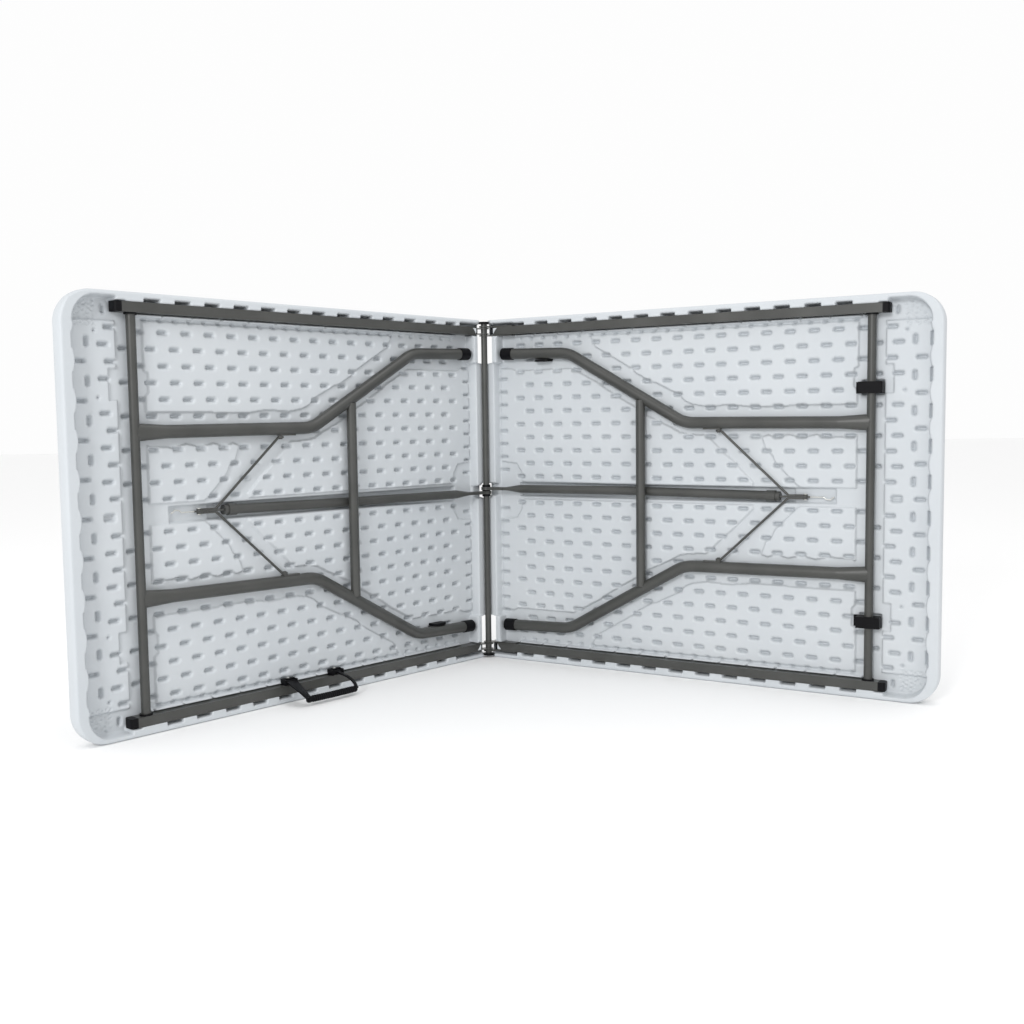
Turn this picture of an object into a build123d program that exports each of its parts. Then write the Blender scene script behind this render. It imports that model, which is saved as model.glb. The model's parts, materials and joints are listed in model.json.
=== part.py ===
"""Bi-fold table with a blow-moulded top, standing half open on one long edge.

World frame in millimetres: +Z is up, the long edge rests on Z = 0 and the undersides face -Y.
Each half is drawn in its own frame. u runs from the fold axis to the outer end, v runs across
the width (up at rest) and w points out of the underside, with the fold axis at u = w = 0.
Closing the table brings the two w = 0 planes together, so every stowed piece stays below w = 0.
The left half is the right half given half a turn about Y, so its own v points down at rest.
"""
import math
import os

from build123d import *

os.makedirs("parts", exist_ok=True)

# ---- driving dimensions ----
WIDTH = 700.0                 # across the table top
HALF_LENGTH = 897.0           # fold axis to the outer end of one half
FOLD_SWING = 39.055           # each half stands this far from flat
HINGE_Y = 264.337             # puts the middle of the whole footprint on the world origin
TOP_W = -45.0                 # the eating surface
RIM_W = -1.5                  # face of the raised rim
FLOOR_W = -27.0               # floor of the leg recess
CORNER_R = 52.0               # outer corners of the top
EDGE_R = 26.0                 # rounding between the outer wall and the eating surface
RIM_END = 25.0                # width of the rim at the outer end
RIM_SIDE = 9.0                # width of the rim beside the end of the recess
RECESS_R = 38.0
SKIN = 2.6                    # moulded wall of the hollow top
HOLLOW_R = 12.0

RAIL_V = 327.0                # centre of a side rail
RAIL_WIDTH = 16.0
RAIL_W = (-26.0, -3.5)
RAIL_U = (20.0, 796.0)
RAIL_WALL = 1.5
CAP_LENGTH = 12.0             # rail end cap beyond the rail

LIP_V = 335.3                 # teeth of the rim beside the rail
NOTCH_V = 339.0               # bottom of the gaps between the teeth
NOTCH_PITCH = 54.4
NOTCH_LENGTH = 27.0
NOTCH_FIRST = (78.0, 92.0)    # first gap on the upper and on the lower side
NOTCH_COUNT = 13

PIVOT = (777.0, -14.0)        # axis of the cross tube that the leg set turns on
CROSS_R = 7.5
CROSS_END_V = 333.0
TUBE_WALL = 1.3
BUSH_R = 8.8
LEG_R = 11.0
LEG_V = 132.5                 # where the legs meet the cross tube
LEG_BENDS = ((433.0, 135.5), (187.0, 276.0))
LEG_TIP = (38.0, 280.0)
BEND_R = 70.0
FLARE_U = 722.0               # the leg is pressed wider from here to the cross tube
FLARE_HALF = (14.5, 8.0)
BAR = (345.0, -9.8)           # axis of the bar between the legs
BAR_R = 9.0
FOOT_R = 12.3
FOOT_LENGTH = 25.0

LINK = (501.0, -14.0)         # axis of the studs that hold the wishbone to the legs
LINK_V = 120.2
STUD_R = 2.5
JOINT = (659.95, -27.0)       # axis where brace and wishbone meet
BRACE_R = 8.5
BRACE_V = 4.2                 # the two braces sit side by side on the centre tube
BRACE_NECK = (78.0, -9.6)     # u and w where the brace becomes round
BRACE_BEND = (320.0, -28.2)
BRACE_END = (614.0, 0.5, -27.3)
BRACE_FLAT_U = 42.0           # pressed flat up to here
EYE_R = 10.5
EYE_THICK = 6.0
TONGUE_HALF = 1.5
ROD_R = 2.25
STRIP_V = (1.9, 4.4)          # the flattened ends of the wishbone beside the brace tongue
STRIP_LENGTH = 28.0
SLEEVE_U = (589.0, 606.0)

TUBE_R = 6.35                 # centre tube
RUN = 0.1                     # running clearance
EAR_R = 10.0
EAR_LENGTH = 62.0
SLOT_V = (262.0, 318.0)       # openings beside the centre tube
INNER_U = 18.0                # inner end wall of the recess
RIB_W = -8.0

LATCHES = {"upper": 192.5, "lower": -216.0}
LATCH_WIDTH = 20.0
LATCH_R = 12.0
LATCH_REACH = 28.0            # spacing of the two cross tubes when the table is shut
POCKET_W = -38.2              # floor under the brace and under the latches

STRAP_U = (396.0, 500.0)
STRAP_OUT = 44.0
STRAP_THICK = 2.5
STRAP_WIDTH = 20.0
STRAP_PIN = (313.5, -7.5)       # v and w of the pins that the strap ends turn on
GRIP_V = 338.0
GRIP_R = 6.0

SIN = math.sin(math.radians(FOLD_SWING))
COS = math.cos(math.radians(FOLD_SWING))
HALF = Plane(origin=(0, HINGE_Y, WIDTH / 2), x_dir=(COS, -SIN, 0), z_dir=(-SIN, -COS, 0))
TURN = Axis((0, HINGE_Y, WIDTH / 2), (0, 1, 0))
SIDES = (1, -1)


# ---- helpers in the frame of a half ----
def block(u0, u1, v0, v1, w0, w1):
    """A box between two corners."""
    size = (abs(u1 - u0), abs(v1 - v0), abs(w1 - w0))
    return Pos((u0 + u1) / 2, (v0 + v1) / 2, (w0 + w1) / 2) * Box(*size)


def rod(start, end, radius):
    """A solid round bar between two points."""
    start, end = Vector(*start), Vector(*end)
    span = end - start
    plane = Plane(origin=start, z_dir=span.normalized())
    return plane * Pos(0, 0, span.length / 2) * Cylinder(radius, span.length)


def disc(centre, v0, v1, radius):
    """A round plate whose axis runs along v."""
    return rod((centre[0], v0, centre[1]), (centre[0], v1, centre[1]), radius)


def ring(centre, v0, v1, outer, inner):
    """A washer whose axis runs along v."""
    return disc(centre, v0, v1, outer) - disc(centre, v0, v1, inner)


def plate(points, v0, v1):
    """An outline in the u-w plane, v0 to v1 thick."""
    face = make_face(Polyline(*[(u, v0, w) for u, w in points], close=True))
    return extrude(face, amount=v1 - v0, dir=(0, 1, 0))


def slab(points, w0, w1):
    """An outline in the u-v plane, w0 to w1 thick."""
    face = make_face(Polyline(*[(u, v, w0) for u, v in points], close=True))
    return extrude(face, amount=w1 - w0, dir=(0, 0, 1))


def round_posts(shape, radius, beyond):
    """Round the edges along w that lie further out than a given u."""
    posts = [e for e in shape.edges().filter_by(Axis.Z) if e.center().X > beyond]
    return fillet(posts, radius)


def place(shape, half):
    """Move a shape from the frame of a half to the world."""
    placed = HALF * shape
    return placed.rotate(TURN, 180) if half == "left" else placed


def save(shape, node):
    """Write one node."""
    solids = shape.solids()
    whole = solids[0] if len(solids) == 1 else Compound(children=list(solids))
    export_step(whole, f"parts/{node}.step")


# ---- the top ----
def panel():
    """One half of the top: a hollow tray with a toothed rim."""
    edge = WIDTH / 2
    body = block(1, HALF_LENGTH, -edge, edge, TOP_W, RIM_W)
    body = round_posts(body, CORNER_R, HALF_LENGTH - 10)
    rims = [e for e in body.edges() if abs(e.center().Z - TOP_W) < 0.1 and e.center().X > 2]
    body = fillet(rims, EDGE_R)
    rims = [e for e in body.edges() if abs(e.center().Z - RIM_W) < 0.1 and e.center().X > 2]
    body = fillet(rims, 2.5)

    wide = edge - RIM_SIDE
    step = RAIL_U[1] + CAP_LENGTH + 2
    end = HALF_LENGTH - RIM_END
    outline = [(INNER_U, -LIP_V), (step, -LIP_V), (step, -wide), (end, -wide),
               (end, wide), (step, wide), (step, LIP_V), (INNER_U, LIP_V)]
    recess = round_posts(slab(outline, FLOOR_W, 5), RECESS_R, end - 1)
    body -= recess

    for side, first in zip(SIDES, NOTCH_FIRST):
        for n in range(NOTCH_COUNT):
            centre = first + n * NOTCH_PITCH
            ends = (centre - NOTCH_LENGTH / 2, centre + NOTCH_LENGTH / 2)
            body -= block(*ends, side * (LIP_V - 1), side * NOTCH_V, FLOOR_W, 5)
        body -= block(0, INNER_U + 1, side * SLOT_V[0], side * SLOT_V[1], TOP_W - 1, 5)
        body -= block(0, INNER_U + 1, side * (SLOT_V[1] - 1), side * 341, FLOOR_W, 5)
        body -= block(0, EAR_LENGTH + 4, side * (LIP_V - 1), side * 341, FLOOR_W, 5)
        body -= disc((0, 0), side * SLOT_V[0], side * (edge + 1), 13)
    body -= block(0, INNER_U + 1, -SLOT_V[0] - 1, SLOT_V[0] + 1, RIB_W, 5)

    pockets = [block(70, 740, -12, 16, POCKET_W, 0)]
    pockets += [block(744, 812, v - 14, v + 14, POCKET_W, 0) for v in LATCHES.values()]
    inset = EDGE_R / 2
    hollow = block(INNER_U + 4, HALF_LENGTH - inset, inset - edge, edge - inset, TOP_W + SKIN,
                   FLOOR_W - SKIN)
    hollow = round_posts(hollow, CORNER_R - inset, HALF_LENGTH - EDGE_R)
    rims = [e for e in hollow.edges() if abs(e.center().Z - TOP_W - SKIN) < 0.1]
    hollow = fillet(rims, HOLLOW_R)
    hollow -= block(66, 744, -15, 19, TOP_W, 0)
    for v in LATCHES.values():
        hollow -= block(740, 816, v - 17, v + 17, TOP_W, 0)
    for pocket in pockets:
        body -= pocket
    body -= block(0, 71, -10, 14, -22, 5)
    body -= disc((0, 0), -14, 14, 13)
    return body - hollow


# ---- rails and hinge ----
def rail(side):
    """A square side rail with the hole for the cross tube bush."""
    v0, v1 = RAIL_V - RAIL_WIDTH / 2, RAIL_V + RAIL_WIDTH / 2
    outer = block(*RAIL_U, side * v0, side * v1, *RAIL_W)
    t = RAIL_WALL
    inner = block(*RAIL_U, side * (v0 + t), side * (v1 - t), RAIL_W[0] + t, RAIL_W[1] - t)
    return outer - inner - disc(PIVOT, side * (v0 - 1), side * (v0 + t + 0.5), BUSH_R)


def rail_caps(inner_gap):
    """Plastic plugs in both ends of both rails."""
    caps = []
    t = RAIL_WALL
    v0, v1 = RAIL_V - RAIL_WIDTH / 2, RAIL_V + RAIL_WIDTH / 2
    bore_w = (RAIL_W[0] + t, RAIL_W[1] - t)
    for side in SIDES:
        start, end = RAIL_U
        cap = block(end, end + CAP_LENGTH, side * v0, side * v1, *RAIL_W)
        cap = fillet(cap.edges().filter_by(Axis.Y).sort_by(Axis.X)[-2:], 5)
        cap += block(end - 7, end, side * (v0 + t), side * (v1 - t), *bore_w)
        caps.append(cap)
        lo, hi = side * (v0 + inner_gap), side * (v1 - inner_gap)
        caps.append(block(start - 6, start + 10, lo, hi, *bore_w))
    return Compound(children=caps)


def ears(spans, bore):
    """Hinge plates welded to the inner ends of both rails."""
    outline = [(-2, -9.5), (28, -22), (EAR_LENGTH, -22), (EAR_LENGTH, -6), (18, -6), (7, 6), (0, 0)]
    plates = []
    for side in SIDES:
        for v0, v1 in spans:
            lo, hi = sorted((side * v0, side * v1))
            ear = plate(outline, lo, hi) + disc((0, 0), lo, hi, EAR_R)
            plates.append(ear - disc((0, 0), lo - 1, hi + 1, bore))
    return Compound(children=plates)


def bushes():
    """Plastic bushes that carry the cross tube in the rails."""
    parts = []
    v0 = RAIL_V - RAIL_WIDTH / 2
    for side in SIDES:
        bush = ring(PIVOT, side * v0, side * (v0 + RAIL_WIDTH - RAIL_WALL), BUSH_R, CROSS_R + RUN)
        bush += ring(PIVOT, side * (v0 - 2.5), side * v0, 10.4, CROSS_R + RUN)
        parts.append(bush)
    return Compound(children=parts)


def leg_clip(v_sign):
    """A post on the floor of the recess that snaps beside a stowed leg."""
    post = block(111, 145, v_sign * 261.4, v_sign * 266.0, FLOOR_W, -8)
    return fillet(post.edges().filter_by(Axis.Y).sort_by(Axis.Z)[-2:], 8)


# ---- leg set ----
def leg_path(side):
    """Centre line of a leg from the flare to the foot."""
    slope = (LEG_BENDS[0][1] - LEG_V) / (PIVOT[0] - LEG_BENDS[0][0])
    start = (FLARE_U, LEG_V + slope * (PIVOT[0] - FLARE_U))
    points = [start, *LEG_BENDS, LEG_TIP]
    return FilletPolyline(*[(u, side * v, PIVOT[1]) for u, v in points], radius=BEND_R)


def leg_solid(side, radius, flare, tip=0.0):
    """A leg without its bore: a bent round bar and the pressed part at the cross tube."""
    path = leg_path(side)
    section = Plane(origin=path @ 0, z_dir=path % 0) * Circle(radius)
    bar = sweep(section, path=path)
    start, end = path @ 0, Vector(PIVOT[0] - 1, side * LEG_V, PIVOT[1])
    frame = Plane(origin=start, x_dir=(0, 0, 1), z_dir=(end - start).normalized())
    last = Plane(origin=end, x_dir=(0, 0, 1), z_dir=(end - start).normalized())
    wide = loft([frame * Circle(radius), last * Ellipse(flare[1], flare[0])])
    return bar + wide


def leg(side):
    """A bent tube that ends in a saddle on the cross tube."""
    thin = (FLARE_HALF[0] - TUBE_WALL, FLARE_HALF[1] - TUBE_WALL)
    shell = leg_solid(side, LEG_R, FLARE_HALF) - leg_solid(side, LEG_R - TUBE_WALL, thin)
    return shell - disc(PIVOT, -300, 300, CROSS_R)


def leg_bar():
    """The tube between the two legs."""
    lo, hi = (BAR[0], -180, BAR[1]), (BAR[0], 180, BAR[1])
    bar = rod(lo, hi, BAR_R) - rod(lo, hi, BAR_R - TUBE_WALL)
    for side in SIDES:
        bar -= leg_solid(side, LEG_R, FLARE_HALF)
    return max(bar.solids(), key=lambda s: s.volume)


def foot_caps():
    """Plastic cups over the leg ends."""
    caps = []
    for side in SIDES:
        path = leg_path(side)
        tip, along = path @ 1, (path % 1).normalized()
        cup = rod(tip - along * (FOOT_LENGTH - 3), tip + along * 3, FOOT_R)
        cup = fillet(cup.edges().sort_by(Axis.X)[0], 2)
        caps.append(cup - rod(tip - along * FOOT_LENGTH, tip, LEG_R))
    return Compound(children=caps)


def link_studs():
    """Riveted studs on the legs that the wishbone swings on."""
    studs = []
    for side in SIDES:
        stud = disc(LINK, side * 117.8, side * 123.5, STUD_R)
        stud += disc(LINK, side * 116.4, side * 117.9, 3.2)
        stud += block(472, 506, side * 122.6, side * 127.5, -19, -9)
        stud -= leg_solid(side, LEG_R, FLARE_HALF)
        studs.append(max(stud.solids(), key=lambda s: s.volume))
    return Compound(children=studs)


def cross_tube():
    """The tube that the leg set turns on."""
    lo, hi = (PIVOT[0], -CROSS_END_V, PIVOT[1]), (PIVOT[0], CROSS_END_V, PIVOT[1])
    return rod(lo, hi, CROSS_R) - rod(lo, hi, CROSS_R - TUBE_WALL)


# ---- brace and wishbone ----
BRACE_POINTS = [
    (BRACE_NECK[0], BRACE_V, BRACE_NECK[1]),
    (BRACE_BEND[0], BRACE_V, BRACE_BEND[1]),
    BRACE_END,
]


def brace_bar(radius):
    """The round part of the brace, with its slight bend under the leg bar."""
    start, bend, end = BRACE_POINTS
    return rod(start, bend, radius) + rod(bend, end, radius) + Pos(*bend) * Sphere(radius)


def brace_tube():
    """A tube pressed flat at the centre tube."""
    fall = BRACE_NECK[1] / BRACE_NECK[0]
    u0, u1 = BRACE_FLAT_U, BRACE_NECK[0]
    lo, hi = BRACE_V - EYE_THICK / 2, BRACE_V + EYE_THICK / 2
    flat = plate([(0, 9), (u0, 9 + fall * u0), (u0, fall * u0 - 9), (0, -9)], lo, hi)
    flat += disc((0, 0), lo, hi, EYE_R)
    start, bend = Vector(*BRACE_POINTS[0]), Vector(*BRACE_POINTS[1])
    first = Plane(origin=(u0, BRACE_V, fall * u0), x_dir=(0, 1, 0), z_dir=(1, 0, fall))
    last = Plane(origin=start, x_dir=(0, 1, 0), z_dir=(bend - start).normalized())
    neck = loft([first * Rectangle(EYE_THICK, 18), last * Circle(BRACE_R)])
    whole = flat + neck + (brace_bar(BRACE_R) - brace_bar(BRACE_R - TUBE_WALL))
    return whole - disc((0, 0), lo - 1, hi + 1, TUBE_R + RUN)


def brace_tongue():
    """Plug in the end of the brace with the thin tongue of the middle joint."""
    end, bend = Vector(*BRACE_END), Vector(*BRACE_POINTS[1])
    along = (end - bend).normalized()
    plug = rod(end - along * 14, end, BRACE_R - TUBE_WALL)
    u, w = JOINT
    t = TONGUE_HALF
    tongue = plate([(608, w - 5), (u, w - 4.6), (u, w + 4.6), (608, w + 5)], -t, t)
    tongue += disc(JOINT, -t, t, 4.6)
    tongue += block(u, u + 9, -t, t, w - 2.2, w + 2.2)
    tongue -= brace_bar(BRACE_R) - rod(end - along * 14, end, BRACE_R - TUBE_WALL)
    return (plug + tongue) - disc(JOINT, -t - 1, t + 1, STUD_R)


def brace_spring():
    """The wire catch beyond the middle joint."""
    u, w = JOINT
    points = [(9, 0), (33, 0), (37, -3.5), (45, -4.5), (49, -1), (51, 0)]
    wire = None
    for a, b in zip(points, points[1:]):
        piece = rod((u + a[0], a[1], w), (u + b[0], b[1], w), 1.3)
        piece += Pos(u + b[0], b[1], w) * Sphere(1.3)
        wire = piece if wire is None else wire + piece
    return wire


def sleeve():
    """The ring that slides over the middle joint to lock it."""
    end, bend = Vector(*BRACE_END), Vector(*BRACE_POINTS[1])
    along = (end - bend).normalized()
    hi = end - along * (BRACE_END[0] - SLEEVE_U[1])
    lo = end - along * (BRACE_END[0] - SLEEVE_U[0])
    shell = rod(lo, hi, 10)
    return shell - rod(lo - along, hi + along, BRACE_R + RUN)


def wishbone_rod(side):
    """One rod of the wishbone: an eye on the leg stud and a flat strip at the middle joint."""
    slope = (JOINT[1] - LINK[1]) / (JOINT[0] - LINK[0])
    mid_v = side * (STRIP_V[0] + ROD_R)
    knee_u = JOINT[0] - STRIP_LENGTH - 4
    knee = (knee_u, mid_v, LINK[1] + slope * (knee_u - LINK[0]))
    arm = rod((LINK[0] + 4.1, side * LINK_V, LINK[1] - 0.3), knee, ROD_R)
    arm += Pos(*knee) * Sphere(ROD_R)
    lo, hi = sorted((side * STRIP_V[0], side * STRIP_V[1]))
    drop = slope * (knee_u - JOINT[0])
    w = JOINT[1]
    strip = plate([(knee_u, w + drop - 3), (JOINT[0], w - 3.5), (JOINT[0], w + 3.5),
                   (knee_u, w + drop + 3)], lo, hi)
    strip += disc(JOINT, lo, hi, 4.4)
    eye = disc(LINK, side * (LINK_V - 2), side * (LINK_V + 2), 5.2)
    whole = arm + strip + eye
    return whole - disc(LINK, side * (LINK_V - 9), side * (LINK_V + 9), STUD_R + RUN)


def joint_heads():
    """Rivet heads outside the two strips."""
    heads = [disc(JOINT, side * STRIP_V[1], side * (STRIP_V[1] + 1.3), 3.8) for side in SIDES]
    return Compound(children=heads)


# ---- latches ----
def latch(v):
    """A plastic catch on the cross tube with a mouth for the other cross tube."""
    u, w = PIVOT
    lo, hi = v - LATCH_WIDTH / 2, v + LATCH_WIDTH / 2
    body = block(u - LATCH_REACH, u + 20, lo, hi, w - LATCH_R, w + LATCH_R - 0.6)
    body = fillet(body.edges().filter_by(Axis.Y), 3)
    body -= disc(PIVOT, lo - 1, hi + 1, CROSS_R + RUN)
    mouth = (u - LATCH_REACH, w)
    body -= disc(mouth, lo - 1, hi + 1, CROSS_R + 0.4)
    body -= block(mouth[0] - 9, mouth[0] + CROSS_R + 0.4, lo - 1, hi + 1, w, w + 14)
    return max(body.solids(), key=lambda s: s.volume)


# ---- carrying strap ----
def pin_disc(u0, u1, radius):
    """A round bar on the axis that the strap turns on."""
    v, w = STRAP_PIN
    return rod((u0, v, w), (u1, v, w), radius)


def strap_arms(grip):
    """The two bands between the pins and the grip: one lies flat and one on edge."""
    arms = []
    v, w = STRAP_PIN
    half = STRAP_WIDTH / 2
    for u, across, deep in ((STRAP_U[0], STRAP_THICK, half), (STRAP_U[1], STRAP_WIDTH, STRAP_THICK)):
        path = [(u, v, w + 1.5), (u, v + 1, STRAP_OUT - 14), (u, GRIP_V, STRAP_OUT)]
        arm = pin_disc(u - half, u + half, 4.2)
        for a, b in zip(path, path[1:]):
            start, end = Vector(*a), Vector(*b)
            frame = Plane(origin=start, x_dir=(1, 0, 0), z_dir=(end - start).normalized())
            length = (end - start).length
            arm += frame * Pos(0, 0, length / 2) * Box(across, deep, length + 1)
        arms.append(arm - pin_disc(u - half - 1, u + half + 1, 2.6) - grip)
    return Compound(children=arms)


def strap_mounts():
    """Blocks on the side of the rail, each with a pin between two cheeks."""
    mounts = []
    v, w = STRAP_PIN
    rail_side = RAIL_V - RAIL_WIDTH / 2
    reach = STRAP_WIDTH / 2 + 3
    for u in STRAP_U:
        mount = block(u - reach, u + reach, v - 5, rail_side, w - 12, w - 5)
        for side in SIDES:
            mount += block(u + side * (reach - 2.6), u + side * reach, v - 4, rail_side, w - 6, w + 4)
        mounts.append(mount + pin_disc(u - reach, u + reach, 2.5))
    return Compound(children=mounts)


def all_nodes():
    """Every node in the world frame."""
    nodes = {}
    ear_spans = {"right": ((317, 319), (335, 337.5)), "left": ((320.5, 322.5), (331.5, 333.5))}
    ear_bore = {"right": TUBE_R + RUN, "left": TUBE_R}
    cap_gap = {"right": 1.5, "left": 3.5}
    for half in ("right", "left"):
        up, down = (1, -1) if half == "right" else (-1, 1)
        local = {
            "panel": panel(),
            "rail_upper": rail(up),
            "rail_lower": rail(down),
            "rail_caps": rail_caps(cap_gap[half]),
            "hinge_ears": ears(ear_spans[half], ear_bore[half]),
            "pivot_bushes": bushes(),
            "leg_clip": leg_clip(1),
            "cross_tube": cross_tube(),
            "leg_upper": leg(up),
            "leg_lower": leg(down),
            "leg_bar": leg_bar(),
            "foot_caps": foot_caps(),
            "link_studs": link_studs(),
            "brace_tube": brace_tube(),
            "brace_tongue": brace_tongue(),
            "brace_pin": disc(JOINT, -TONGUE_HALF, TONGUE_HALF, STUD_R),
            "brace_spring": brace_spring(),
            "wishbone_rod_upper": wishbone_rod(up),
            "wishbone_rod_lower": wishbone_rod(down),
            "joint_heads": joint_heads(),
            "lock_sleeve": sleeve(),
        }
        for name, shape in local.items():
            nodes[f"{half}_{name}"] = place(shape, half)
    for name, v in LATCHES.items():
        nodes[f"latch_{name}"] = place(latch(v), "right")

    tube = disc((0, 0), -342, 346, TUBE_R) - disc((0, 0), -342, 342, TUBE_R - TUBE_WALL)
    caps = [ring((0, 0), 342, 346, 11, TUBE_R), disc((0, 0), -346, -342, 11)]
    spans = ((-1, 1), (7.5, 12), (-12, -7.5))
    spacers = [ring((0, 0), lo, hi, 8.6, TUBE_R) for lo, hi in spans]
    nodes["hinge_tube"] = place(tube, "right")
    nodes["hinge_tube_caps"] = place(Compound(children=caps), "right")
    nodes["brace_spacers"] = place(Compound(children=spacers), "right")

    screw_w = STRAP_PIN[1] - 8.5
    face_v = STRAP_PIN[0] - 5
    screws = [disc((u, screw_w), face_v - 1.5, face_v, 3.2) for u in STRAP_U]
    ends = [(u, GRIP_V, STRAP_OUT) for u in STRAP_U]
    grip = rod(*ends, GRIP_R)
    nodes["strap_mounts"] = place(strap_mounts(), "left")
    nodes["strap_screws"] = place(Compound(children=screws), "left")
    nodes["carry_strap"] = place(strap_arms(grip), "left")
    nodes["strap_grip"] = place(grip, "left")
    return nodes


NODES = all_nodes()
for node_name, node_shape in NODES.items():
    save(node_shape, node_name)
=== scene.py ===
import json
import math

import bmesh
import bpy
import numpy as np
from mathutils import Matrix, Vector

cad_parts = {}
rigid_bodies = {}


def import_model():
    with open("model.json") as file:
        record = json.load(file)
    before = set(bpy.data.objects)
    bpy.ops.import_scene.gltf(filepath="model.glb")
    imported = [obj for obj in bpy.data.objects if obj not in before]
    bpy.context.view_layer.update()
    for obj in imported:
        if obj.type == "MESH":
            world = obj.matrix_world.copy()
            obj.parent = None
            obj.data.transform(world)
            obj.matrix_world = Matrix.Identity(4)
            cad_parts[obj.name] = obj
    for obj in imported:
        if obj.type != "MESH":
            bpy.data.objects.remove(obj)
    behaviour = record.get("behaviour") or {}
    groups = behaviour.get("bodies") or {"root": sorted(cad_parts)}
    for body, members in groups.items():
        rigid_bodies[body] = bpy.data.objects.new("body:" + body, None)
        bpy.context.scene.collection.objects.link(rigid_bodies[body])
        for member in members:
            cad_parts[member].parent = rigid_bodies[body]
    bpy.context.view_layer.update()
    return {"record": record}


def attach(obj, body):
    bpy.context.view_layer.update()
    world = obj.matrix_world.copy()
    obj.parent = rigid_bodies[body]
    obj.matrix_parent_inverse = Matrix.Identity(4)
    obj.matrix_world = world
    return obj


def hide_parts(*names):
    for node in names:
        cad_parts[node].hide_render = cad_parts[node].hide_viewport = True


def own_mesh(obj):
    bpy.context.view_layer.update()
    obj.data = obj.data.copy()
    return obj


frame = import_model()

# ---- frame of one half, in millimetres: u outward from the fold axis, v across, w out of the underside ----
HINGE_Y = 264.337
FOLD = math.radians(39.055)
S, C = math.sin(FOLD), math.cos(FOLD)
WIDTH, HALF_LENGTH = 700.0, 897.0
EDGE = WIDTH / 2
TOP_W, RIM_W, FIELD_W, CHANNEL_W = -45.0, -1.5, -22.6, -26.9
CORNER_R, RECESS_R = 52.0, 38.0
EDGE_R = 26.0
STEP = 1.5            # grid spacing of the underside
PIT_DEPTH = 9.5
POCKET_W = -38.2      # floor under the brace and the latches


def to_world(u, v, w, half):
    """Points of a half in world metres."""
    x = C * u - S * w
    y = HINGE_Y - S * u - C * w
    z = EDGE + v
    if half == "left":
        x, z = -x, WIDTH - z
    return np.stack([x, y, z], axis=-1) / 1000.0


# ---- heights of the underside ----
def box_sdf(u, v, cu, cv, hu, hv, r):
    """Signed distance to a rounded rectangle, negative inside."""
    a = np.abs(u - cu) - (hu - r)
    b = np.abs(v - cv) - (hv - r)
    return np.hypot(np.maximum(a, 0), np.maximum(b, 0)) + np.minimum(np.maximum(a, b), 0) - r


def inside(u, v, outline):
    """True inside a polygon."""
    result = np.zeros(u.shape, bool)
    for (u0, v0), (u1, v1) in zip(outline, outline[1:] + outline[:1]):
        if v0 == v1:
            continue
        crosses = (v0 > v) != (v1 > v)
        result ^= crosses & (u < (u1 - u0) * (v - v0) / (v1 - v0) + u0)
    return result


def smooth(x, lo, hi):
    """A soft step from 0 at lo to 1 at hi."""
    t = np.clip((x - lo) / (hi - lo), 0, 1)
    return t * t * (3 - 2 * t)


OUTER_FIELD = [(235, 308), (235, 300), (243, 286), (285, 262), (322, 240), (330, 232), (360, 215),
               (372, 212), (420, 188), (428, 178), (445, 170), (475, 165), (520, 168), (560, 163),
               (750, 165), (750, 190), (745, 195), (745, 226), (752, 230), (752, 308)]
MIDDLE_FIELD = [(580, 108), (592, 112), (605, 106), (630, 112), (655, 106), (680, 112), (705, 106),
                (750, 110), (750, 17), (652, 17), (645, 22), (605, 62), (600, 74), (588, 84)]
INNER_FIELD = [(75, 17), (562, 17), (565, 24), (520, 68), (512, 74), (478, 108), (470, 112),
               (440, 113), (420, 117), (400, 128), (352, 150), (340, 160), (300, 182), (262, 205),
               (250, 214), (205, 238), (190, 245), (60, 245), (50, 250), (24, 250), (24, 60),
               (60, 56), (70, 40)]


def blur(h, times):
    """Soften a height grid."""
    for _ in range(times):
        p = np.pad(h, 1, mode="edge")
        h = (p[:-2, 1:-1] + p[2:, 1:-1] + p[1:-1, :-2] + p[1:-1, 2:] + 4 * h) / 8
    return h


def dimples(u, v):
    """Distance to the middle line of the nearest pit, with the u and v of that pit."""
    k = np.round((v - 2.5) / 26.67)
    row_v = 2.5 + 26.67 * k
    odd = np.abs(np.mod(k, 2)) > 0.5
    shift = np.where(odd, 70.0, 92.0)
    n = np.round((u - shift) / 43.14)
    cu = shift + 43.14 * n
    d = np.hypot(np.maximum(np.abs(u - cu) - 6.0, 0), v - row_v)
    return d, cu, row_v


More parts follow.
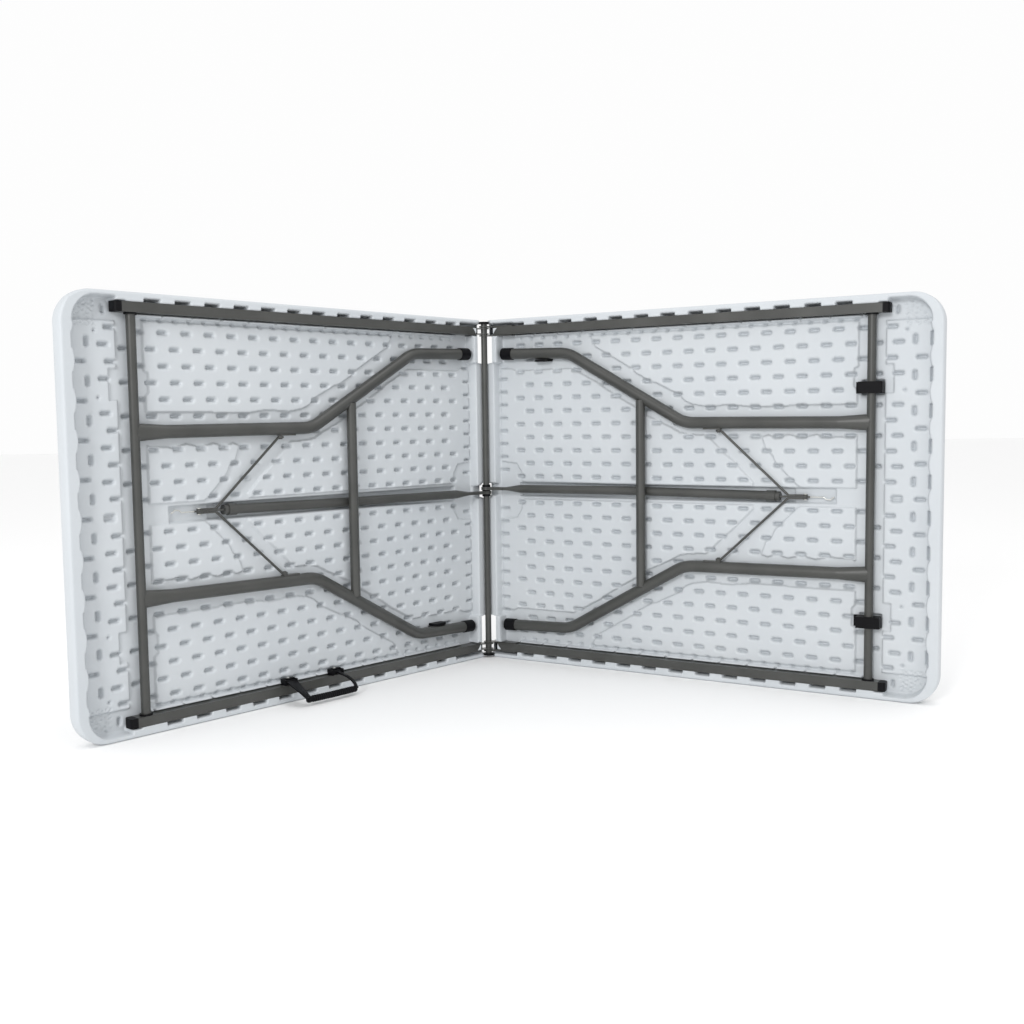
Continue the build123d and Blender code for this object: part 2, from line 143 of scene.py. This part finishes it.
def height(u, v, half):
    """w of the underside of a half at every point of the grid."""
    av = np.abs(v)
    side = np.where(v > 0, 1, -1)
    field = np.zeros(u.shape, bool)
    for outline in (OUTER_FIELD, MIDDLE_FIELD, INNER_FIELD):
        field |= inside(u, av, outline)
    end_strip = (u > 812) | ((u > 798) & ~((av > 183) & (av < 232)))
    edge_strip = (av > 308) & (u < 790) & (u > 235)
    field |= end_strip & (av < 306)
    floor = np.where(field, FIELD_W, CHANNEL_W)
    floor = np.where(edge_strip, CHANNEL_W, floor)

    d, cu, row_v = dimples(u, v)
    brace = (av < 16) & (u > 66) & (u < 742)
    allowed = (cu > 50) & (cu < 790) & (np.abs(row_v) < 300) & (np.abs(row_v) > 16)
    pits = np.where(allowed, d, 99.0)
    end_a = np.hypot(np.maximum(np.abs(u - 808) - 6, 0), np.mod(av - 2.5, 53.34) - 26.67)
    end_a = np.where((np.abs(av - 189) < 20) | (av > 310), 99.0, end_a)
    end_b = np.hypot(np.maximum(np.abs(u - 819) - 6, 0), np.mod(av - 2.5 + 26.67, 53.34) - 26.67)
    end_b = np.where(av > 285, 99.0, end_b)
    upright = np.hypot(u - 846.5, np.maximum(np.abs(np.mod(av, 60.6) - 30.3) - 5, 0))
    upright = np.where(av > 285, 99.0, upright)
    across = np.hypot(np.maximum(np.abs(u - 858) - 6, 0), np.mod(av + 30.3, 60.6) - 30.3)
    across = np.where(av > 262, 99.0, across)
    dots = np.minimum(np.hypot(u - 833, av - 290), np.hypot(u - 830, av - 187)) + 1.5
    marks = np.hypot(u - 816, np.maximum(np.abs(av - 324) - 4, 0)) + 1.0
    side_row = np.hypot(np.maximum(np.abs(np.mod(u, 27.2) - 13.6) - 2.5, 0), av - 309.5) + 2.0
    side_row = np.where((u > 70) & (u < 765), side_row, 99.0)
    inner_row = np.hypot(np.maximum(np.abs(u - 30) - 7, 0), np.mod(v - 2.5, 26.67) - 13.3) + 1.2
    inner_row = np.where((av < 255) & (av > 20), inner_row, 99.0)
    for field_pits in (end_a, end_b, upright, across, dots, marks, side_row, inner_row):
        pits = np.minimum(pits, field_pits)
    floor = floor - PIT_DEPTH * (1 - smooth(pits, 1.2, 4.4))
    floor = floor - 0.8 * (1 - smooth(pits, 5.2, 6.6))

    spots = np.hypot(np.mod(u + 4 * np.sin(v * 0.37), 7.5) - 3.7, np.mod(v + 3 * np.sin(u * 0.41), 7.5) - 3.7)
    corner = (u > 828) & (av > 296) & (np.hypot(u - 838, av - 306) < 32)
    floor = np.where(corner, floor - 3.0 * (1 - smooth(spots, 0.8, 2.6)), floor)

    brace_floor = np.where(u < 640, POCKET_W, np.where(u < 715, -34.0, CHANNEL_W))
    floor = np.where(brace & (v > -12) & (v < 16), brace_floor, floor)
    for centre in (192.5, -216.0):
        pocket = (half == "right") & (u > 758) & (u < 795) & (np.abs(v - centre) < 12)
        floor = np.where(pocket, POCKET_W, floor)

    wave = 2.2 * np.cos((av - 30.3) * math.tau / 60.6) * (av < 300)
    recess = box_sdf(u, av, 446.5, 0, 429, 341, RECESS_R) - np.where(u > 790, wave, 0)
    lip = np.where(u < 806, av - 335.3, recess)
    wall = np.maximum(np.maximum(recess, lip), 18 - u)
    h = floor + (RIM_W - floor) * smooth(wall, -1.6, 1.8)

    for sign, first in ((1, 78.0), (-1, 92.0)):
        phase = np.mod(u - first + 27.2, 54.4) - 27.2
        teeth = (side == sign) & (np.abs(phase) < 13.5) & (u < first + 54.4 * 12.4) & (u > first - 20)
        h = np.where(teeth & (av > 334) & (av < 339.5), floor, h)
        flap = (side == sign) & ~teeth & (av > 334.2) & (av < 337) & (u > 66) & (u < 790)
        h = np.where(flap, -0.9, h)
        tick = (side == sign) & (np.abs(phase) < 25.5) & (av > 314.5) & (av < 318.4)
        h = np.where(tick & (u > 60) & (u < 765), np.maximum(h, -17.0), h)
    flute = (np.abs(u - 875) < 2.6) & (np.abs(np.mod(av, 60.6) - 30.3) < 12) & (av < 300)
    h = np.where(flute, FIELD_W - 8.0, h)

    inner = u < 18
    h = np.where(inner & (av < 262), -8.0, h)
    h = np.where(inner & (av >= 318) & (av < 341), -27.0, h)
    h = np.where((u < 66) & (av > 334) & (av < 341), -27.0, h)
    round_cut = -np.sqrt(np.clip(169 - u * u, 0, None))
    h = np.where((u < 13) & ((av > 341) | (av < 14)), np.minimum(h, round_cut), h)
    h = np.where((u < 72) & (v > -10) & (v < 14), np.minimum(h, -22.0), h)
    return h


def panel_mesh(half):
    """One half of the top: the moulded underside, the edge and the plain eating surface."""
    us = np.arange(0, int((HALF_LENGTH - 1) / STEP) + 1) / int((HALF_LENGTH - 1) / STEP)
    us = 1 + us * (HALF_LENGTH - 1)
    count_v = int(WIDTH / STEP)
    vs = -EDGE + np.arange(0, count_v + 1) * (WIDTH / count_v)
    u, v = np.meshgrid(us, vs, indexing="ij")
    h = blur(height(u, v, half), 1)

    border = np.minimum(HALF_LENGTH - u, EDGE - np.abs(v))
    a = np.clip((u - (HALF_LENGTH - CORNER_R)) / CORNER_R, 0, 1)
    b = np.clip((np.abs(v) - (EDGE - CORNER_R)) / CORNER_R, 0, 1)
    pu = np.where(a > 0, HALF_LENGTH - CORNER_R + CORNER_R * a * np.sqrt(1 - b * b / 2), u)
    pv = np.where(b > 0, EDGE - CORNER_R + CORNER_R * b * np.sqrt(1 - a * a / 2), np.abs(v)) * np.sign(v)
    h2 = np.where((a > 0) & (b > 0), blur(height(pu, pv, half), 1), h)
    radius = 4.5
    round_off = radius - np.sqrt(np.clip(radius ** 2 - np.clip(radius - border, 0, radius) ** 2, 0, None))
    h2 = np.where(border < radius, RIM_W - round_off, h2)
    h2 = np.where((u < 14) & (np.abs(v) > 341), np.minimum(h2, h), h2)

    start = np.where((np.abs(v) > 262) & (np.abs(v) < 318), 18.0, 1.0)
    pu = np.where(u < 40, start + (u - 1) * (40 - start) / 39, pu)

    nu, nv = u.shape
    front = np.stack([pu, pv, h2], -1).reshape(-1, 3)
    index = np.arange(nu * nv).reshape(nu, nv)
    loop = np.concatenate([index[:, 0], index[-1, 1:], index[-2::-1, -1], index[0, -2:0:-1]])
    ring_points = front[loop]
    away = np.stack([np.clip(ring_points[:, 0] - (HALF_LENGTH - 60), 0, None),
                     np.sign(ring_points[:, 1]) * np.clip(np.abs(ring_points[:, 1]) - 290, 0, None)], -1)
    length = np.linalg.norm(away, axis=1, keepdims=True)
    inward = np.where(length > 1e-6, -away / np.maximum(length, 1e-6), 0) * np.clip(length / 60, 0, 1)
    rings = [(0.0, -12.0)]
    for n in range(9):
        turn = math.radians(n * 90 / 8)
        rings.append((EDGE_R * (1 - math.cos(turn)), TOP_W + EDGE_R * (1 - math.sin(turn))))
    layers = [front]
    layer_loops = [loop]
    base = len(front)
    lip_w = ring_points[:, 2]
    for inset, w in rings:
        pts = ring_points.copy()
        pts[:, :2] += inward * inset
        pts[:, 2] = np.minimum(w, lip_w - 0.5) if w == -12.0 else w
        layers.append(pts)
        layer_loops.append(np.arange(base, base + len(loop)))
        base += len(loop)
    points = np.concatenate(layers)

    quads = np.stack([index[:-1, :-1], index[1:, :-1], index[1:, 1:], index[:-1, 1:]], -1).reshape(-1, 4)
    walls = []
    for upper, lower in zip(layer_loops, layer_loops[1:]):
        walls.append(np.stack([upper, lower, np.roll(lower, -1), np.roll(upper, -1)], -1))
    quads = np.concatenate([quads] + walls)
    cap = layer_loops[-1][::-1]

    co = to_world(points[:, 0], points[:, 1], points[:, 2], half)
    mesh = bpy.data.meshes.new(f"{half}_top")
    mesh.vertices.add(len(co))
    mesh.vertices.foreach_set("co", co.astype(np.float32).ravel())
    loops = np.concatenate([quads.ravel(), cap])
    mesh.loops.add(len(loops))
    mesh.loops.foreach_set("vertex_index", loops.astype(np.int32))
    starts = np.concatenate([np.arange(len(quads)) * 4, [len(quads) * 4]])
    mesh.polygons.add(len(starts))
    mesh.polygons.foreach_set("loop_start", starts.astype(np.int32))
    mesh.update(calc_edges=True)
    mesh.validate()
    smooth_faces = np.ones(len(mesh.polygons), bool)
    smooth_faces[-1] = False
    mesh.polygons.foreach_set("use_smooth", smooth_faces)
    obj = bpy.data.objects.new(f"{half}_top", mesh)
    bpy.context.collection.objects.link(obj)
    return obj


# ---- materials ----
def new_material(name, color, rough, metallic=0.0):
    mat = bpy.data.materials.new(name)
    mat.use_nodes = True
    nodes, links = mat.node_tree.nodes, mat.node_tree.links
    shader = nodes["Principled BSDF"]
    shader.inputs["Base Color"].default_value = (*color, 1)
    shader.inputs["Roughness"].default_value = rough
    shader.inputs["Metallic"].default_value = metallic
    coord = nodes.new("ShaderNodeTexCoord")
    return mat, nodes, links, shader, coord.outputs["Object"]


def noise(nodes, links, coord, scale, detail=3.0, rough=0.5):
    tex = nodes.new("ShaderNodeTexNoise")
    tex.inputs["Scale"].default_value = scale
    tex.inputs["Detail"].default_value = detail
    tex.inputs["Roughness"].default_value = rough
    links.new(coord, tex.inputs["Vector"])
    return tex.outputs["Fac"]


def ramp(nodes, links, fac, stops):
    node = nodes.new("ShaderNodeValToRGB")
    elements = node.color_ramp.elements
    while len(elements) < len(stops):
        elements.new(0.5)
    for element, (pos, color) in zip(elements, stops):
        element.position = pos
        element.color = (*color, 1)
    links.new(fac, node.inputs["Fac"])
    return node.outputs["Color"]


def value_range(nodes, links, fac, lo, hi):
    node = nodes.new("ShaderNodeMapRange")
    node.inputs["To Min"].default_value = lo
    node.inputs["To Max"].default_value = hi
    links.new(fac, node.inputs["Value"])
    return node.outputs["Result"]


def bump(nodes, links, shader, heights):
    """Chain of bumps: (height socket, distance in metres, strength)."""
    last = None
    for socket, distance, strength in heights:
        node = nodes.new("ShaderNodeBump")
        node.inputs["Distance"].default_value = distance
        node.inputs["Strength"].default_value = strength
        links.new(socket, node.inputs["Height"])
        if last is not None:
            links.new(last, node.inputs["Normal"])
        last = node.outputs["Normal"]
    links.new(last, shader.inputs["Normal"])


def moulded_white():
    mat, nodes, links, shader, coord = new_material("moulded_white", (0.50, 0.53, 0.56), 0.5)
    cloud = noise(nodes, links, coord, 4.0, 4.0, 0.55)
    links.new(ramp(nodes, links, cloud, [(0.3, (0.51, 0.54, 0.567)), (0.7, (0.552, 0.58, 0.603))]),
              shader.inputs["Base Color"])
    grain = noise(nodes, links, coord, 900.0, 2.0)
    flow = noise(nodes, links, coord, 60.0, 3.0)
    links.new(value_range(nodes, links, flow, 0.42, 0.58), shader.inputs["Roughness"])
    bump(nodes, links, shader, [(flow, 0.0006, 0.25), (grain, 0.00015, 0.35)])
    return mat


def powder_coat():
    mat, nodes, links, shader, coord = new_material("powder_coat", (0.045, 0.046, 0.043), 0.36)
    cloud = noise(nodes, links, coord, 14.0, 4.0)
    links.new(ramp(nodes, links, cloud, [(0.3, (0.036, 0.037, 0.034)), (0.72, (0.054, 0.055, 0.051))]),
              shader.inputs["Base Color"])
    speck = noise(nodes, links, coord, 1400.0, 2.0)
    peel = noise(nodes, links, coord, 260.0, 2.0)
    links.new(value_range(nodes, links, cloud, 0.28, 0.42), shader.inputs["Roughness"])
    bump(nodes, links, shader, [(peel, 0.0003, 0.3), (speck, 0.0001, 0.3)])
    shader.inputs["Coat Weight"].default_value = 0.15
    shader.inputs["Coat Roughness"].default_value = 0.35
    return mat


def black_plastic():
    mat, nodes, links, shader, coord = new_material("black_plastic", (0.003, 0.003, 0.004), 0.5)
    shader.inputs["Specular IOR Level"].default_value = 0.12
    cloud = noise(nodes, links, coord, 40.0, 3.0)
    links.new(ramp(nodes, links, cloud, [(0.3, (0.002, 0.002, 0.003)), (0.7, (0.005, 0.005, 0.006))]),
              shader.inputs["Base Color"])
    grain = noise(nodes, links, coord, 1100.0, 2.0)
    links.new(value_range(nodes, links, cloud, 0.4, 0.58), shader.inputs["Roughness"])
    bump(nodes, links, shader, [(grain, 0.0001, 0.5)])
    return mat


def zinc():
    mat, nodes, links, shader, coord = new_material("zinc", (0.6, 0.6, 0.58), 0.3, 1.0)
    cloud = noise(nodes, links, coord, 120.0, 3.0)
    links.new(ramp(nodes, links, cloud, [(0.3, (0.52, 0.52, 0.49)), (0.7, (0.68, 0.68, 0.66))]),
              shader.inputs["Base Color"])
    links.new(value_range(nodes, links, cloud, 0.22, 0.42), shader.inputs["Roughness"])
    bump(nodes, links, shader, [(noise(nodes, links, coord, 600.0), 0.0001, 0.3)])
    return mat


MATERIALS = {"hdpe": moulded_white(), "steel": powder_coat(),
             "black_plastic": black_plastic(), "zinc": zinc()}


def paint(obj, slot):
    obj.data.materials.clear()
    obj.data.materials.append(MATERIALS[slot])


for part in frame["record"]["subparts"]:
    node = bpy.data.objects[part["node"]]
    for slot in node.material_slots:
        slot.material = MATERIALS[part["material_slot"]]

for half in ("left", "right"):
    top = panel_mesh(half)
    paint(top, "hdpe")
    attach(top, f"{half}_half")
    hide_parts(f"{half}_panel")


# ---- carrying strap: a webbing band with a ribbed grip ----
def sweep_band(name, stations):
    """A thick band through stations of (centre, across, thick), each a vector in u, v, w."""
    bm = bmesh.new()
    rows = []
    for centre, across, thick in stations:
        centre, across, thick = Vector(centre), Vector(across), Vector(thick)
        corners = [centre + across * a + thick * t for a, t in ((-1, -1), (1, -1), (1, 1), (-1, 1))]
        rows.append([bm.verts.new(c) for c in corners])
    for lower, upper in zip(rows, rows[1:]):
        for n in range(4):
            m = (n + 1) % 4
            bm.faces.new((lower[n], lower[m], upper[m], upper[n]))
    bm.faces.new(rows[0][::-1])
    bm.faces.new(rows[-1])
    bmesh.ops.recalc_face_normals(bm, faces=bm.faces)
    mesh = bpy.data.meshes.new(name)
    bm.to_mesh(mesh)
    bm.free()
    obj = bpy.data.objects.new(name, mesh)
    bpy.context.collection.objects.link(obj)
    bevel = obj.modifiers.new("soft", "BEVEL")
    bevel.width = 0.7
    bevel.segments = 2
    bevel.limit_method = "ANGLE"
    return obj


def bake_to_half(obj, half):
    """Apply the modifiers and move the mesh from the frame of a half to the world."""
    bpy.context.view_layer.update()
    graph = bpy.context.evaluated_depsgraph_get()
    mesh = bpy.data.meshes.new_from_object(obj.evaluated_get(graph))
    obj.modifiers.clear()
    obj.data = mesh
    co = np.empty(len(mesh.vertices) * 3, np.float32)
    mesh.vertices.foreach_get("co", co)
    co = co.reshape(-1, 3)
    placed = to_world(co[:, 0], co[:, 1], co[:, 2], half).astype(np.float32)
    mesh.vertices.foreach_set("co", placed.ravel())
    mesh.update()
    for polygon in mesh.polygons:
        polygon.use_smooth = True
    return obj


def curve_points(points, count):
    """A smooth Catmull-Rom line through a few points."""
    pts = [Vector(p) for p in points]
    pts = [2 * pts[0] - pts[1]] + pts + [2 * pts[-1] - pts[-2]]
    line = []
    for a, b, c, d in zip(pts, pts[1:], pts[2:], pts[3:]):
        for n in range(count):
            t = n / count
            line.append(0.5 * (2 * b + (c - a) * t + (2 * a - 5 * b + 4 * c - d) * t * t
                               + (3 * b - a - 3 * c + d) * t ** 3))
    return line + [pts[-2]]


STRAP_PIN_V, STRAP_PIN_W = 313.5, -7.5
GRIP_V, GRIP_W = 338.0, 44.0


def strap_band(name, u, half_width, lean, out):
    """One end of the strap: a loop round its pin, a run along the rail and a bend to the grip."""
    line = curve_points([(u, STRAP_PIN_V, STRAP_PIN_W + 3.6), (u - lean * 1.0, STRAP_PIN_V + 2.5, 4),
                         (u - lean * 4, STRAP_PIN_V + 7, 20), (u - lean * 5, STRAP_PIN_V + 14, out),
                         (u - lean * 1.5, GRIP_V - 3, GRIP_W + 3)], 8)
    stations = []
    for n, centre in enumerate(line):
        ahead = (line[min(n + 1, len(line) - 1)] - line[max(n - 1, 0)]).normalized()
        blend = n / (len(line) - 1)
        sideways = Vector((0, -ahead.z, ahead.y))
        across = Vector((math.cos(blend * 0.5), 0.0, 0.0)) + sideways * math.sin(blend * 0.5)
        across = (across - ahead * across.dot(ahead)).normalized() * half_width
        across *= 1 + 0.1 * math.sin(blend * 3.1)
        thick = ahead.cross(across).normalized() * 1.25
        stations.append((centre, across, thick))
    band = bake_to_half(sweep_band(name, stations), "left")
    paint(band, "black_plastic")
    return band


def lathe(name, profile, segments, squeeze):
    """A turned shape along u; profile holds (u, radius) pairs."""
    bm = bmesh.new()
    rows = []
    for u, r in profile:
        turns = [math.tau * k / segments for k in range(segments)]
        rows.append([bm.verts.new((u, r * math.cos(t), squeeze * r * math.sin(t))) for t in turns])
    for a, b in zip(rows, rows[1:]):
        for k in range(segments):
            m = (k + 1) % segments
            bm.faces.new((a[k], a[m], b[m], b[k]))
    bm.faces.new(rows[0][::-1])
    bm.faces.new(rows[-1])
    bmesh.ops.recalc_face_normals(bm, faces=bm.faces)
    mesh = bpy.data.meshes.new(name)
    bm.to_mesh(mesh)
    bm.free()
    obj = bpy.data.objects.new(name, mesh)
    bpy.context.collection.objects.link(obj)
    return obj


def strap_grip():
    """The ribbed grip between the two bands."""
    profile = [(392.5, 3.0), (393.5, 5.0), (396.0, 6.0), (399.0, 6.0)]
    u = 402.0
    while u < 494:
        profile += [(u, 5.0), (u + 0.8, 6.1), (u + 2.6, 6.1), (u + 3.4, 5.0)]
        u += 4.6
    profile += [(497.0, 6.0), (501.0, 6.0), (503.0, 5.0), (504.0, 3.0)]
    grip = lathe("grip", profile, 32, 0.85)
    for vertex in grip.data.vertices:
        bow = 2.0 * math.sin(math.pi * (vertex.co.x - 392) / 112)
        vertex.co = (vertex.co.x, vertex.co.y + GRIP_V, vertex.co.z + GRIP_W + bow)
    bake_to_half(grip, "left")
    paint(grip, "black_plastic")
    return grip


bands = [strap_band("strap_wide", 500.0, 11.0, -1, 38), strap_band("strap_edge", 396.0, 4.5, 1, 34)]
grip_piece = strap_grip()
for piece in bands + [grip_piece]:
    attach(piece, "handle")
for band in bands:
    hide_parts("carry_strap")
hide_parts("strap_grip")
for piece in bands + [grip_piece]:
    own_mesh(piece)

# ---- floor, light, camera ----
world = bpy.data.worlds.new("studio")
bpy.context.scene.world = world
world.use_nodes = True
world.node_tree.nodes["Background"].inputs["Color"].default_value = (1, 1, 1, 1)
world.node_tree.nodes["Background"].inputs["Strength"].default_value = 0.985

bpy.ops.mesh.primitive_plane_add(size=40, location=(0, 0, 0))
ground = bpy.context.object
ground.name = "ground"
ground_mat, _, _, ground_shader, _ = new_material("ground", (0.95, 0.95, 0.95), 0.8)
ground.data.materials.append(ground_mat)


def area_light(name, place, aim, size, power):
    data = bpy.data.lights.new(name, "AREA")
    data.size = size
    data.energy = power
    light = bpy.data.objects.new(name, data)
    light.location = place
    light.rotation_euler = (Vector(aim) - Vector(place)).to_track_quat("-Z", "Y").to_euler()
    bpy.context.collection.objects.link(light)


area_light("key", (-2.3, -4.0, 2.1), (0, 0, 0.35), 0.9, 85)
area_light("top", (0.6, -0.6, 3.2), (0, 0, 0.3), 1.6, 12)
bpy.context.scene.view_settings.view_transform = "Standard"

camera_data = bpy.data.cameras.new("camera")
camera_data.sensor_width = 36.0
camera_data.lens = 39.499
camera = bpy.data.objects.new("camera", camera_data)
turn = Matrix.Rotation(math.radians(-8.171), 4, "Z") @ Matrix.Rotation(math.radians(85.390), 4, "X")
turn = turn @ Matrix.Rotation(math.radians(-0.7536), 4, "Z")
camera.matrix_world = Matrix.Translation((-0.27905, (-2314.06 + HINGE_Y) / 1000, 0.49216)) @ turn
bpy.context.collection.objects.link(camera)
bpy.context.scene.camera = camera
